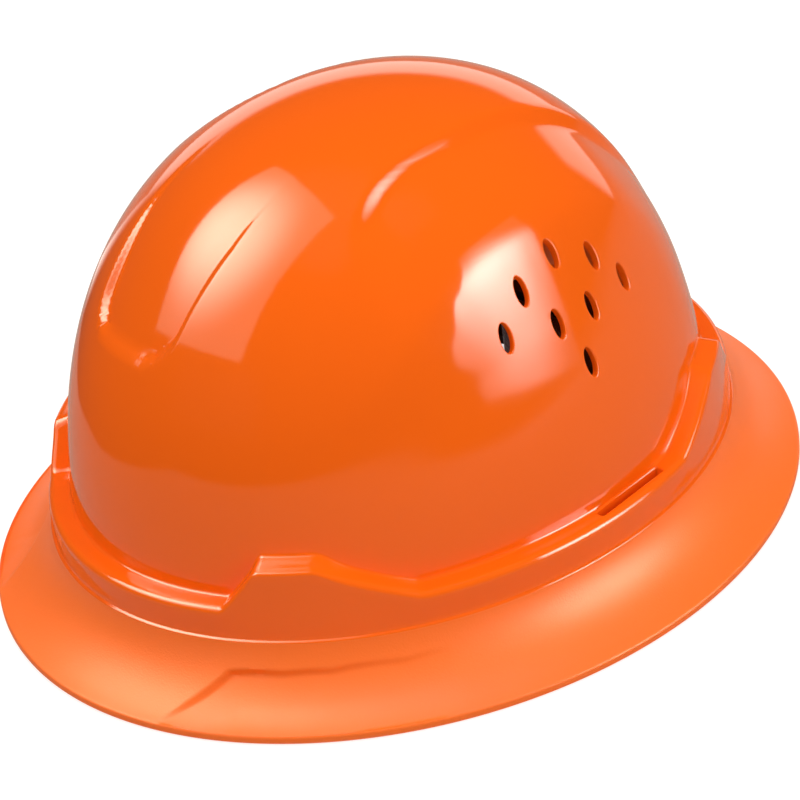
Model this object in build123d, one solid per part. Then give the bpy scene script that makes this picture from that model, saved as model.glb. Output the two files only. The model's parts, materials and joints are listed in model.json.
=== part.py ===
from build123d import *
from math import atan2, cos, degrees, hypot, pi, radians, sin, sqrt, tan
import os

# Full brim hard hat in millimetres. +Z is up, the wearer looks along -Y and +X is the wearer's left.
# The origin is the middle of the ring on which the brim's edge rests.

# Moulded shell
brim_half_length = 160.0
brim_half_width = 139.0
brim_edge_thickness = 3.2
brim_rest_width = 2.4
dome_half_length = 127.5
dome_half_width = 106.5
shell_height = 172.0
shell_wall = 2.6
dome_side_power = 2.31
dome_rise_power = 2.55
dome_height_shares = (0.0, 0.15, 0.3, 0.45, 0.6, 0.75, 0.87, 0.95, 0.985, 0.998)

# Collar between the dome and the brim
ledge_height = 38.0
ledge_width = 7.4
ledge_round = 2.2
collar_foot_height = 26.0
collar_flare = 0.8
brim_flare_shares = ((0.55, 0.25), (0.27, 0.48), (0.10, 0.70))
ledge_round_degrees = (0, 30, 60, 90)

# Raised key housings on the collar, drawn along the wall from the key's middle
housing_top = 53.0
housing_inset = 0.7
housing_draft = 1.5
housing_flat_to_front = 8.5
housing_flat_to_ear = 14.0
housing_foot_to_front = 21.0
housing_foot_to_ear = 49.0
key_azimuth = 36.0

# Upright oval vents, counted from the middle of the pattern on each side
vent_width = 4.8
vent_height = 11.2
vent_centre_back = 28.6
vent_places = (
    (-0.5, 127.4),
    (17.9, 118.6),
    (-18.6, 122.4),
    (30.7, 104.6),
    (-30.7, 111.1),
    (9.9, 105.1),
    (-7.9, 106.8),
    (1.0, 88.8),
)

# Accessory slots beside the dome
slot_length = 34.0
slot_width = 3.4
slot_depth = 14.0
slot_centre_back = 31.0
slot_wall = 1.8
slot_dome_gap = 0.3

# Sunk front panel
panel_depth = 2.4
panel_fade = 1.6
panel_bottom = 112.0
panel_half_width = 21.0
panel_corner = 13.0
panel_top_spread = 5.0

# Headband loop: a round back half and a longer front half
loop_radius = 80.0
loop_front = 92.0
loop_centre_y = -3.0
band_thickness = 1.8
band_height = 26.0
band_bottom = 49.5
band_end_angle = 24.0
band_vent_length = 22.0
band_vent_height = 4.0
band_vent_count = 5
height_travel = 10.0

# Suspension keys and the headband's posts
key_width = 22.6
key_plate_thickness = 2.9
key_pocket_clearance = 0.15
key_top_clearance = 0.4
key_bridge_height = 4.5
key_bridge_bottom = 27.0
key_leg_thickness = 2.6
key_leg_width = 12.0
front_leg_from_band = 6.5
rear_leg_from_band = 9.0
key_block_height = 7.0
key_block_from_band = 2.2
post_width = 8.0
post_thickness = 2.4
post_from_band = 3.4
post_foot_height = 4.0
post_foot_bite = 0.9
post_foot_rise = 2.0
post_head_height = 2.4
post_head_overhang = 1.2
post_stop_clearance = 1.0
running_clearance = 0.1

# Crown webbing
strap_width = 19.0
strap_thickness = 1.2
strap_radius = 107.0
strap_straight_share = 0.35
strap_below_crown = 40.0
strap_layer_gap = 0.4
strap_slot_clearance = 0.4
strap_fold_thickness = 4.0
strap_fold_height = 5.0
strap_fold_gap = 0.5
keeper_size = 27.0
keeper_plate = 1.4
keeper_bow = 1.6

# Brow pad and nape pad
soft_gap = 0.3
brow_pad_thickness = 5.0
brow_pad_height = 32.0
brow_pad_angle = 56.0
brow_pad_round = 2.0
brow_pad_drop = 1.5
nape_pad_thickness = 6.0
nape_pad_height = 32.0
nape_pad_angle = 19.0
nape_pad_round = 2.4

# Ratchet: two racks and a pinion
nape_centre_z = 32.0
tooth_module = 1.2
pinion_teeth = 10
pressure_angle = 25.0
tooth_height_share = 0.8
tooth_backlash = 0.30
tooth_root_clearance = 0.25
arm_thickness = 1.6
arm_height = 22.0
arm_layer_gap = 0.3
arm_travel_angle = 34.0
arm_mesh_angle = 6.0
arm_tip_past_window_angle = 5.0
arm_tail_spare_angle = 1.0
arm_corner = 3.0
window_clearance = 0.5

# Ratchet housing
base_thickness = 1.5
base_from_band = 0.1
housing_angle = 20.0
housing_height = 36.0
cover_depth = 9.7
recess_diameter = 33.0
recess_depth = 4.2
click_teeth = 24
click_tooth_height = 0.9
screw_diameter = 2.9
screw_head_diameter = 5.4
screw_head_height = 1.6
screw_spacing = 26.6
screw_pilot_depth = 0.9
face_gap = 0.3
seat_clearance = 0.05
cross_slot_share = 0.6

# Knob and its shaft
knob_diameter = 44.0
knob_depth = 12.5
knob_wall = 2.2
knob_flutes = 12
flute_diameter = 7.0
flute_bite = 1.7
knob_hub_diameter = 15.0
shaft_across_flats = 7.0
shaft_end_from_face = 3.6
shaft_stub_diameter = 5.0
pawl_disc_thickness = 3.2
pawl_hub_diameter = 17.0
pawl_arm_width = 2.2
pawl_tip_angle = 70.0
knob_screw_diameter = 3.5
knob_screw_length = 9.0
knob_screw_head = 7.0
knob_screw_head_height = 2.0
knob_screw_spare = 2.0

# Tilting nape guides
guide_length = 17.0
guide_wall = 1.4
guide_height_spare = 1.8
lug_width = 16.0
lug_below_pin = 8.5
pin_diameter = 5.0
pin_head_diameter = 9.0
pin_head_height = 1.2

# From the back of the loop to the ear
ear_angle = 90.0

# How far a cut runs past the face it opens
overrun = 8.0


# Sizes that follow from those above
strap_straight_top = shell_height * strap_straight_share
strap_apex = shell_height - strap_below_crown
band_outer_radius = loop_radius + band_thickness
base_inner_radius = band_outer_radius + base_from_band
base_outer_radius = base_inner_radius + base_thickness
left_arm_radius = base_outer_radius + arm_layer_gap
right_arm_radius = left_arm_radius + arm_thickness + arm_layer_gap
arms_outer_radius = right_arm_radius + arm_thickness
cover_inner_radius = arms_outer_radius + arm_layer_gap
cover_face = cover_inner_radius + cover_depth
pitch_radius = tooth_module * pinion_teeth / 2
tooth_height = tooth_module * tooth_height_share
tooth_pitch = pi * tooth_module
collar_half_length = dome_half_length + ledge_width
collar_half_width = dome_half_width + ledge_width


def dome_share(height, full_height):
    """Share of the dome's plan size that is left at a height."""
    return (1 - (height / full_height) ** dome_rise_power) ** (1 / dome_side_power)


def wall_point(azimuth, inset):
    """Point of the dome's outline at the ledge and the direction that faces out of it there."""
    share = dome_share(ledge_height, shell_height)
    half_width = dome_half_width * share - inset
    half_length = dome_half_length * share - inset
    side = sin(radians(azimuth))
    front = cos(radians(azimuth))
    reach = 1 / hypot(side / half_width, front / half_length)
    x = side * reach
    y = -front * reach
    slope = hypot(x / half_width**2, y / half_length**2)
    return x, y, x / half_width**2 / slope, y / half_length**2 / slope


def out_plane(x, y, out_x, out_y, height):
    """Plane whose Y runs out of the wall and whose X runs along it towards the front."""
    return Plane(origin=(x, y, height), x_dir=(out_y, -out_x, 0), z_dir=(0, 0, 1))


def block(plane, along, out_from, out_to, low, high):
    """Upright block in a wall plane: its width along the wall, its depth and its height."""
    middle = (out_from + out_to) / 2
    shape = Pos(0, middle, (low + high) / 2) * Box(along, out_to - out_from, high - low)
    return plane * shape


def oval_stack(sections, ruled):
    """Solid through level ovals, each given as half width, half length and height."""
    ovals = []
    for half_width, half_length, height in sections:
        ovals.append(Pos(0, 0, height) * Ellipse(half_width, half_length))
    return loft(ovals, ruled=ruled)


def dome_solid(half_width, half_length, height, low):
    """Solid dome from a height above the plane of the brim's edge up to the crown."""
    ovals = []
    for share in dome_height_shares:
        z = low + (height - low) * share
        left = dome_share(z, height)
        ovals.append(Pos(0, 0, z) * Ellipse(half_width * left, half_length * left))
    return loft(ovals + [Vertex(0, 0, height)])


def collar_solid():
    """Solid that the ledge and the collar's wall bound."""
    foot = (collar_half_width + collar_flare, collar_half_length + collar_flare)
    sections = [(*foot, brim_edge_thickness), (*foot, collar_foot_height)]
    for turn in ledge_round_degrees:
        back = ledge_round * (1 - cos(radians(turn)))
        level = ledge_height - ledge_round + ledge_round * sin(radians(turn))
        sections.append((collar_half_width - back, collar_half_length - back, level))
    return oval_stack(sections, True)


def housing_ring():
    """Stack above the ledge from which the raised key housings are cut."""
    width = collar_half_width - housing_inset
    length = collar_half_length - housing_inset
    low = (width, length, collar_foot_height)
    high = (width - housing_draft, length - housing_draft, housing_top)
    return oval_stack([low, high], True)


def key_housings():
    """The four raised housings: steep towards the middle of the hat, long towards the ear."""
    x, y, out_x, out_y = wall_point(key_azimuth, 0)
    face = Plane(origin=(x, y, 0), x_dir=(out_y, -out_x, 0), z_dir=(-out_x, -out_y, 0))
    outline = Polyline(
        (-housing_foot_to_ear, ledge_height - ledge_round),
        (housing_foot_to_front, ledge_height - ledge_round),
        (housing_foot_to_front, ledge_height),
        (housing_flat_to_front, housing_top),
        (-housing_flat_to_ear, housing_top),
        (-housing_foot_to_ear, ledge_height),
        close=True,
    )
    prism = extrude(face * make_face(outline), amount=dome_half_width / 2, both=True)
    front_left = housing_ring() & prism
    rear_left = mirror(front_left, about=Plane.XZ)
    left = front_left + rear_left
    return left + mirror(left, about=Plane.YZ)


def brim_stack(inset, lift):
    """Solid under the brim's flared line, drawn in by an inset and raised by a lift."""
    run_x = brim_half_width - collar_half_width - collar_flare
    run_y = brim_half_length - collar_half_length - collar_flare
    drop = collar_foot_height - brim_edge_thickness
    sections = []
    for across, up in ((1.0, 0.0), *brim_flare_shares, (0.0, 1.0)):
        half_width = collar_half_width + collar_flare + run_x * across - inset
        half_length = collar_half_length + collar_flare + run_y * across - inset
        sections.append((half_width, half_length, brim_edge_thickness + drop * up + lift))
    return oval_stack(sections, False)


def brim_solid():
    """Flared brim with an upright rim and a flat ring to rest on."""
    rim = extrude(Ellipse(brim_half_width, brim_half_length), amount=brim_edge_thickness)
    return rim + brim_stack(0, 0)


def brim_hollow():
    """Space under the brim, one thickness below its upper side."""
    return brim_stack(brim_rest_width, -brim_edge_thickness)


def front_panel():
    """Layer of the dome's skin that the sunk front panel leaves out."""
    half = panel_half_width
    top = shell_height
    outline = Polyline(
        (-half, panel_bottom),
        (half, panel_bottom),
        (half + panel_top_spread, top),
        (-half - panel_top_spread, top),
        close=True,
    )
    window = make_face(outline)
    corners = window.vertices().sort_by(Axis.Y)[0:2]
    window = Plane.XZ * fillet(corners, panel_corner)
    prism = Pos(0, -panel_half_width, 0) * extrude(window, amount=brim_half_length)
    half_width = dome_half_width - panel_depth
    half_length = dome_half_length - panel_depth
    return prism - dome_solid(half_width, half_length, shell_height + panel_fade, collar_foot_height)


def shell_blank():
    """Dome, collar, raised housings and brim before the hollow is cut."""
    dome = dome_solid(dome_half_width, dome_half_length, shell_height, collar_foot_height)
    return dome + collar_solid() + key_housings() + brim_solid() - brim_hollow()


def shell_hollow():
    """Everything inside the shell: the dome's inside and the wider space behind the collar."""
    low = ledge_height - 2 * shell_wall
    inside = dome_solid(
        dome_half_width - shell_wall, dome_half_length - shell_wall, shell_height - shell_wall, low
    )
    outline = Ellipse(collar_half_width - shell_wall, collar_half_length - shell_wall)
    room = Pos(0, 0, -overrun) * extrude(outline, amount=ledge_height - shell_wall + overrun)
    return inside + room


def slot_frame():
    """Wall plane at the middle of the left accessory slot, at the ledge's height."""
    share = dome_share(ledge_height, shell_height)
    side = sqrt(1 - (slot_centre_back / (dome_half_length * share)) ** 2)
    azimuth = 90 + degrees(atan2(slot_centre_back, dome_half_width * share * side))
    x, y, out_x, out_y = wall_point(azimuth, 0)
    return out_plane(x, y, out_x, out_y, 0)


def slot_wells(widening, low):
    """Both accessory slots as blocks, widened all round, down to a height."""
    start = slot_dome_gap - widening
    end = slot_dome_gap + slot_width + widening
    top = ledge_height if widening else ledge_height + overrun
    left = block(slot_frame(), slot_length + 2 * widening, start, end, low, top)
    return left + mirror(left, about=Plane.YZ)


def key_pockets():
    """Pockets inside the raised housings that hold the four suspension keys."""
    depth = key_plate_thickness + 2 * key_pocket_clearance
    start = shell_wall / 2 - depth / 2 + key_plate_thickness / 2
    top = housing_top - 2 * shell_wall
    width = key_width + 2 * key_pocket_clearance
    pocket = block(key_plane(), width, start, start + depth, key_bridge_bottom, top)
    left = pocket + mirror(pocket, about=Plane.XZ)
    return left + mirror(left, about=Plane.YZ)


def vent_holes():
    """Oval vents on both sides, each bored square to the dome."""
    tools = []
    for back, z in vent_places:
        y = vent_centre_back + back
        share = dome_share(z, shell_height)
        x = dome_half_width * sqrt(share**2 - (y / dome_half_length) ** 2)
        climb = (z / shell_height) ** (dome_rise_power - 1) / shell_height
        slope_z = dome_rise_power / dome_side_power * climb * share ** (2 - dome_side_power)
        out = Vector(x / dome_half_width**2, y / dome_half_length**2, slope_z).normalized()
        across = Vector(0, 0, 1).cross(out).normalized()
        bore = extrude(Ellipse(vent_width / 2, vent_height / 2), overrun, both=True)
        tool = Plane(origin=(x, y, z), x_dir=across, z_dir=out) * bore
        tools.append(tool)
        tools.append(mirror(tool, about=Plane.YZ))
    return tools


def make_shell():
    """One moulding: dome, collar, key housings, accessory slots, vents and brim."""
    shell = shell_blank() - shell_hollow()
    low = ledge_height - slot_depth
    shell = shell + (slot_wells(slot_wall, low) - shell_outside())
    shell = shell - slot_wells(0, low - overrun)
    shell = shell - key_pockets()
    shell = shell - vent_holes()
    return shell - front_panel()


def shell_outside():
    """What lies outside the collar's own skin, so that the slot walls stay behind it."""
    outline = Ellipse(collar_half_width - shell_wall / 2, collar_half_length - shell_wall / 2)
    return Box(4 * brim_half_width, 4 * brim_half_length, 4 * ledge_height) - extrude(
        outline, amount=3 * ledge_height, both=True
    )


def key_plane():
    """Wall plane of the front left key, at the ground."""
    x, y, out_x, out_y = wall_point(key_azimuth, 0)
    return out_plane(x, y, out_x, out_y, 0)


def band_distance(half_width, half_length, centre_y):
    """Distance from the dome's wall straight in to an oval band, at the key."""
    x, y, out_x, out_y = wall_point(key_azimuth, 0)
    square = (out_x / half_width) ** 2 + (out_y / half_length) ** 2
    middle = x * out_x / half_width**2 + (y - centre_y) * out_y / half_length**2
    rest = (x / half_width) ** 2 + ((y - centre_y) / half_length) ** 2 - 1
    return (middle - sqrt(middle**2 - square * rest)) / square


def front_distance():
    return band_distance(band_outer_radius, loop_front + band_thickness, loop_centre_y)


def rear_distance():
    return band_distance(band_outer_radius, band_outer_radius, -loop_centre_y)


def key_block_bottom():
    """Lowest height of a key's guide block that leaves the post's foot its whole travel."""
    return band_bottom + post_foot_rise + post_foot_height + height_travel + post_stop_clearance


def strap_plane():
    """Upright plane through the hat's middle and the front left key, X along the plane."""
    x, y, out_x, out_y = wall_point(key_azimuth, 0)
    away = hypot(x, y)
    return Plane(origin=(0, 0, 0), x_dir=(x / away, y / away, 0), z_dir=(y / away, -x / away, 0))


def strap_block(along, across, low, high):
    """Upright block where the strap comes down, in the strap's own direction."""
    shape = Pos(strap_radius, (low + high) / 2, 0) * Box(across, high - low, along)
    return strap_plane() * shape


def make_key(distance, leg_from_band):
    """Front left key: plate in the pocket, bridge under the wall, leg and guide block."""
    plane = key_plane()
    outer = shell_wall / 2 + key_plate_thickness
    plate_top = housing_top - 2 * shell_wall - key_top_clearance
    bridge_top = key_bridge_bottom + key_bridge_height
    block_low = key_block_bottom()
    block_high = block_low + key_block_height
    leg_in = leg_from_band - distance
    leg_out = leg_in + key_leg_thickness
    plate = block(plane, key_width, outer - key_plate_thickness, outer, key_bridge_bottom, plate_top)
    bridge = block(plane, key_width, leg_in, outer, key_bridge_bottom, bridge_top)
    leg = block(plane, key_leg_width, leg_in, leg_out, key_bridge_bottom, block_high)
    guide = block(plane, key_leg_width, key_block_from_band - distance, leg_out, block_low, block_high)
    hole = block(
        plane,
        post_width + 2 * running_clearance,
        post_from_band - running_clearance - distance,
        post_from_band + post_thickness + running_clearance - distance,
        block_low - overrun,
        block_high + overrun,
    )
    strap_slot = strap_block(
        strap_width + 2 * strap_slot_clearance,
        strap_thickness + 2 * strap_slot_clearance,
        key_bridge_bottom - overrun,
        bridge_top + key_bridge_height,
    )
    return plate + bridge + leg + guide - hole - strap_slot


def make_crown_strap(layer):
    """Webbing from the front left key over the crown to the rear right key."""
    apex = strap_apex + layer * (strap_thickness + strap_layer_gap)
    half = strap_thickness / 2
    low = key_bridge_bottom - strap_fold_gap
    rise = apex - strap_straight_top
    outer = Ellipse(strap_radius + half, rise + half)
    inner = Ellipse(strap_radius - half, rise - half)
    upper_half = Pos(0, rise / 2) * Rectangle(4 * strap_radius, rise + 2 * strap_thickness)
    arch = Pos(0, strap_straight_top) * ((outer - inner) & (Pos(0, half) * upper_half))
    strap = strap_plane() * extrude(arch, amount=strap_width / 2, both=True)
    for side in (0, 1):
        leg = strap_block(strap_width, strap_thickness, low, strap_straight_top + strap_thickness)
        fold = strap_block(strap_width, strap_fold_thickness, low - strap_fold_height, low)
        end = leg + fold
        strap = strap + (mirror(mirror(end, about=Plane.XZ), about=Plane.YZ) if side else end)
    return strap


def make_crown_keeper():
    """Moulded clip that holds the two webbings where they cross."""
    low = strap_apex - strap_thickness / 2 - keeper_bow
    high = strap_apex + strap_thickness * 2 + strap_layer_gap - strap_thickness / 2 + soft_gap
    clip = Pos(0, 0, (low + high) / 2) * Box(keeper_size, keeper_size, high - low + 2 * keeper_plate)
    clip = fillet(clip.edges().filter_by(Axis.Z), keeper_plate * 2)
    angle = degrees(atan2(strap_plane().x_dir.Y, strap_plane().x_dir.X))
    channel = Box(2 * keeper_size, strap_width + 2 * soft_gap, high - low)
    for turn in (angle, -angle):
        clip = clip - Pos(0, 0, (low + high) / 2) * Rot(0, 0, turn) * channel
    return clip


def loop_point(radius, angle):
    """Point at an angle from the back of the loop, positive towards the wearer's left."""
    return radius * sin(radians(angle)), loop_centre_y + radius * cos(radians(angle))


def sector(inner, outer, start, end, low, high):
    """Upright slice of a ring about the loop's centre."""
    middle = (start + end) / 2
    arcs = ThreePointArc(loop_point(outer, start), loop_point(outer, middle), loop_point(outer, end))
    arcs = arcs + Line(loop_point(outer, end), loop_point(inner, end))
    arcs = arcs + ThreePointArc(loop_point(inner, end), loop_point(inner, middle), loop_point(inner, start))
    arcs = arcs + Line(loop_point(inner, start), loop_point(outer, start))
    return Pos(0, 0, low) * extrude(make_face(arcs), amount=high - low)


def front_half(grow_in, grow_out, low, high):
    """Front half of the oval loop between two offsets from its inner line."""
    outer = Ellipse(loop_radius + grow_out, loop_front + grow_out)
    inner = Ellipse(loop_radius + grow_in, loop_front + grow_in)
    half = Pos(0, -loop_front) * Rectangle(4 * loop_radius, 2 * loop_front)
    face = Pos(0, loop_centre_y) * ((outer - inner) & half)
    return Pos(0, 0, low) * extrude(face, amount=high - low)


def make_post(distance):
    """Post on the headband in the front left key's direction, with a head that rests on the key."""
    plane = key_plane()
    start = post_from_band - distance
    end = start + post_thickness
    foot_low = band_bottom + post_foot_rise
    head_low = key_block_bottom() + key_block_height + face_gap
    head_high = head_low + post_head_height
    foot = block(plane, post_width, -distance - post_foot_bite, end, foot_low, foot_low + post_foot_height)
    bar = block(plane, post_width, start, end, foot_low, head_high)
    head = block(plane, post_width + 2 * post_head_overhang, start, end, head_low, head_high)
    return foot + bar + head


def make_headband():
    """Springy band with posts for the four keys and a lug on each side for the nape guides."""
    top = band_bottom + band_height
    band = front_half(0, band_thickness, band_bottom, top)
    slit = Box(band_vent_length, loop_front, band_vent_height)
    for index in range(band_vent_count):
        step = index - (band_vent_count - 1) / 2
        turn = step * degrees(band_vent_length * 3 / 2 / loop_front)
        tool = Rot(0, 0, turn) * (Pos(0, -loop_front, 0) * slit)
        band = band - Pos(0, loop_centre_y, band_bottom + band_height / 2) * tool
    lug_angle = degrees(lug_width / 2 / loop_radius)
    lug_low = nape_centre_z - lug_below_pin
    lug_room = Pos(0, loop_centre_y, 0) * Box(4 * loop_radius, lug_width, 4 * band_bottom)
    band = band + (front_half(0, band_thickness, lug_low, band_bottom) & lug_room)
    for side in (1, -1):
        ear = side * ear_angle
        band = band + sector(loop_radius, band_outer_radius, ear, side * band_end_angle, band_bottom, top)
        band = band + sector(
            loop_radius, band_outer_radius, ear, side * (ear_angle - lug_angle), lug_low, band_bottom
        )
    bore = Pos(0, loop_centre_y, nape_centre_z) * Rot(0, 90, 0) * Cylinder(pin_diameter / 2, 4 * loop_radius)
    front = make_post(front_distance())
    rear = mirror(make_post(rear_distance()), about=Plane.XZ)
    posts = front + rear
    return band - bore + posts + mirror(posts, about=Plane.YZ)


def make_brow_pad():
    """Cushion along the inside of the headband's front."""
    low = band_bottom - brow_pad_drop
    ring = front_half(-soft_gap - brow_pad_thickness, -soft_gap, low, low + brow_pad_height)
    far = 2 * loop_front
    edge = radians(brow_pad_angle)
    left = (far * sin(edge), -far * cos(edge))
    right = (-far * sin(edge), -far * cos(edge))
    wedge = make_face(Polyline((0, 0), left, (0, -4 * far), right, close=True))
    pad = ring & (Pos(0, loop_centre_y, 0) * extrude(wedge, amount=4 * band_height))
    return fillet(pad.edges(), brow_pad_round)


def make_nape_pad():
    """Cushion between the ratchet's base and the neck."""
    outer = base_inner_radius - soft_gap
    inner = outer - nape_pad_thickness
    half = nape_pad_height / 2
    pad = sector(inner, outer, -nape_pad_angle, nape_pad_angle, nape_centre_z - half, nape_centre_z + half)
    return fillet(pad.edges(), nape_pad_round)


def make_pivot_pin(side):
    """Rivet through the headband's lug and the nape guide."""
    reach = left_arm_radius if side > 0 else right_arm_radius
    flush = reach - arm_layer_gap
    seat = sqrt(loop_radius**2 - (pin_head_diameter / 2) ** 2)
    shank = flush - seat
    shank_rod = Rot(0, 90, 0) * Cylinder(pin_diameter / 2 - running_clearance, shank)
    head_disc = Rot(0, 90, 0) * Cylinder(pin_head_diameter / 2, pin_head_height)
    pin = Pos(seat + shank / 2, 0, 0) * shank_rod + Pos(seat - pin_head_height / 2, 0, 0) * head_disc
    pin = Pos(0, loop_centre_y, nape_centre_z) * pin
    return pin if side > 0 else mirror(pin, about=Plane.YZ)


def make_nape_guide(side):
    """Sleeve that turns on the lug and lets the ratchet arm slide through."""
    inner = left_arm_radius if side > 0 else right_arm_radius
    outer = inner + arm_thickness
    start = band_outer_radius + face_gap
    end = outer + arm_layer_gap + guide_wall
    height = arm_height + 2 * (arm_layer_gap + guide_height_spare)
    body = Pos((start + end) / 2, loop_centre_y, nape_centre_z) * Box(end - start, guide_length, height)
    body = fillet(body.edges().filter_by(Axis.X), arm_corner)
    half = arm_height / 2 + arm_layer_gap
    turn = degrees(guide_length / loop_radius)
    channel = sector(
        inner - running_clearance,
        outer + arm_layer_gap,
        side * (ear_angle - turn),
        side * (ear_angle + turn),
        nape_centre_z - half,
        nape_centre_z + half,
    )
    rod = Rot(0, 90, 0) * Cylinder(pin_diameter / 2, 2 * arms_outer_radius)
    bore = Pos(0, loop_centre_y, nape_centre_z) * rod
    if side < 0:
        body = mirror(body, about=Plane.YZ)
    return body - channel - (bore & guide_inner_side(side, inner))


def guide_inner_side(side, inner):
    """Room that holds only the guide's wall next to the headband."""
    room = Pos(inner / 2, 0, 0) * Box(inner, brim_half_length, brim_half_length)
    return room if side > 0 else mirror(room, about=Plane.YZ)


def rack_gap(radius, place, side):
    """Space between two rack teeth, cut through the arm at the toothed edge of its window."""
    lean = tan(radians(pressure_angle))
    half = tooth_pitch / 4 + tooth_backlash / 2
    tip = pitch_radius - tooth_height
    root = pitch_radius + tooth_height + tooth_root_clearance
    low = half + tooth_height * lean
    high = half - (root - pitch_radius) * lean
    outline = Polyline(
        (-low, side * tip), (low, side * tip), (high, side * root), (-high, side * root), close=True
    )
    angle = radians(place)
    origin = (radius * sin(angle), loop_centre_y + radius * cos(angle), nape_centre_z)
    face = Plane(origin=origin, x_dir=(cos(angle), -sin(angle), 0), z_dir=(-sin(angle), -cos(angle), 0))
    return face * extrude(make_face(outline), amount=2 * arm_thickness, both=True)


def make_rack_arm(side):
    """Ratchet arm: a curved strip with a toothed window at the back."""
    inner = left_arm_radius if side > 0 else right_arm_radius
    outer = inner + arm_thickness
    middle = inner + arm_thickness / 2
    guide_angle = degrees(guide_length / 2 / inner)
    tail = ear_angle + guide_angle + arm_tail_spare_angle
    window_far = arm_mesh_angle + arm_travel_angle
    tip = window_far + arm_tip_past_window_angle
    low = nape_centre_z - arm_height / 2
    arm = sector(inner, outer, -side * tip, side * tail, low, low + arm_height)
    plain = nape_centre_z - side * (pitch_radius + tooth_height + window_clearance)
    toothed = nape_centre_z + side * (pitch_radius - tooth_height)
    window = sector(
        inner - overrun,
        outer + overrun,
        -side * window_far,
        side * arm_mesh_angle,
        min(plain, toothed),
        max(plain, toothed),
    )
    step = degrees(tooth_pitch / middle)
    near_count = int(arm_mesh_angle / step)
    far_count = int(window_far / step)
    gaps = []
    for index in range(-far_count, near_count):
        gaps.append(rack_gap(middle, side * (index + 0.5) * step, side))
    return arm - window - gaps


def involute_point(base, roll):
    """Radius and turn of an involute at a roll angle."""
    return base * sqrt(1 + roll**2), roll - atan2(roll, 1)


def pinion_outline():
    """Closed outline of the pinion's teeth, involute flanks cut short of full width."""
    lean = radians(pressure_angle)
    base = pitch_radius * cos(lean)
    tip = pitch_radius + tooth_height
    root = pitch_radius - tooth_height - tooth_root_clearance
    half = (pi * tooth_module / 2 - tooth_backlash) / 2 / pitch_radius + tan(lean) - lean
    last = sqrt((tip / base) ** 2 - 1)
    flank = [involute_point(base, last * share) for share in (0.0, 0.4, 0.7, 1.0)]
    points = []
    for index in range(pinion_teeth):
        centre = 2 * pi * index / pinion_teeth
        points.append((root, centre - half))
        points += [(radius, centre - half + turn) for radius, turn in flank]
        points += [(radius, centre + half - turn) for radius, turn in reversed(flank)]
        points.append((root, centre + half))
    return [(radius * cos(angle), radius * sin(angle)) for radius, angle in points]


def back_plane(radius):
    """Plane square to the knob's axis, facing back, at a distance from the loop's centre."""
    return Plane(origin=(0, loop_centre_y + radius, nape_centre_z), x_dir=(-1, 0, 0), z_dir=(0, 1, 0))


def disc(radius, start, end):
    """Round disc on the knob's axis between two distances from the loop's centre."""
    return back_plane(start) * extrude(Circle(radius), amount=end - start)


def hexagon(across, start, end):
    """Hexagonal bar on the knob's axis."""
    return back_plane(start) * extrude(RegularPolygon(across / 2, 6, major_radius=False), amount=end - start)


def make_pinion():
    """Pinion between the two racks, with its stub in the base and a hexagonal shaft behind."""
    start = base_outer_radius + running_clearance
    end = sqrt(cover_inner_radius**2 - (pitch_radius + tooth_height) ** 2) - running_clearance
    face = make_face(Polyline(*pinion_outline(), close=True))
    teeth = back_plane(start) * extrude(face, amount=end - start)
    stub = disc(shaft_stub_diameter / 2, base_inner_radius + running_clearance, start)
    shaft_end = cover_face + knob_depth - shaft_end_from_face - knob_screw_head_height
    shaft = hexagon(shaft_across_flats, end, shaft_end)
    pilot = disc(knob_screw_diameter / 2, shaft_end - knob_screw_length, shaft_end + overrun)
    return teeth + stub + shaft - pilot


def make_ratchet_base():
    """Curved base that closes the ratchet on the neck's side."""
    low = nape_centre_z - housing_height / 2
    high = nape_centre_z + housing_height / 2
    base = sector(base_inner_radius, base_outer_radius, -housing_angle, housing_angle, low, high)
    base = base - disc(shaft_stub_diameter / 2 + running_clearance, base_inner_radius - overrun, cover_face)
    for side in (1, -1):
        hole = Pos(0, 0, side * screw_spacing / 2) * disc(
            screw_diameter / 2, base_inner_radius - overrun, cover_face
        )
        base = base - hole
    return base


def click_ring():
    """Toothed recess in the cover that the pawl tips click over."""
    tooth = radians(360 / click_teeth)
    outer = recess_diameter / 2
    points = []
    for index in range(click_teeth):
        points.append((outer - click_tooth_height, index * tooth))
        points.append((outer, (index + 0.5) * tooth))
    face = make_face(Polyline(*[(r * cos(a), r * sin(a)) for r, a in points], close=True))
    return back_plane(cover_face - recess_depth) * extrude(face, amount=recess_depth + overrun)


def make_ratchet_cover():
    """Cover with the arms' channel inside and the clicking recess behind the knob."""
    half = housing_height / 2
    low = nape_centre_z - half
    high = nape_centre_z + half
    reach = loop_point(base_outer_radius, housing_angle)[0]
    body = Pos(0, loop_centre_y + cover_face / 2, nape_centre_z) * Box(2 * reach, cover_face, housing_height)
    body = fillet(body.edges().filter_by(Axis.Y), arm_corner)
    hub = Pos(0, loop_centre_y, 0) * Cylinder(base_outer_radius + seat_clearance, 4 * housing_height)
    body = body - hub
    body = body - Pos(0, loop_centre_y - loop_radius, nape_centre_z) * Box(
        4 * loop_radius, 2 * loop_radius, 2 * housing_height
    )
    wall = housing_height / 2 - arm_height / 2 - arm_layer_gap
    channel = sector(
        base_outer_radius - overrun,
        cover_inner_radius,
        -2 * housing_angle,
        2 * housing_angle,
        low + wall,
        high - wall,
    )
    body = body - channel - click_ring()
    body = body - disc(shaft_across_flats / sqrt(3) + running_clearance, base_outer_radius, cover_face)
    for side in (1, -1):
        place = Pos(0, 0, side * screw_spacing / 2)
        body = body - place * disc(screw_diameter / 2, base_outer_radius - overrun, cover_face + overrun)
        sink = cover_face - recess_depth - screw_head_height
        body = body - place * disc(screw_head_diameter / 2 + running_clearance, sink, cover_face + overrun)
    return body


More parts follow.
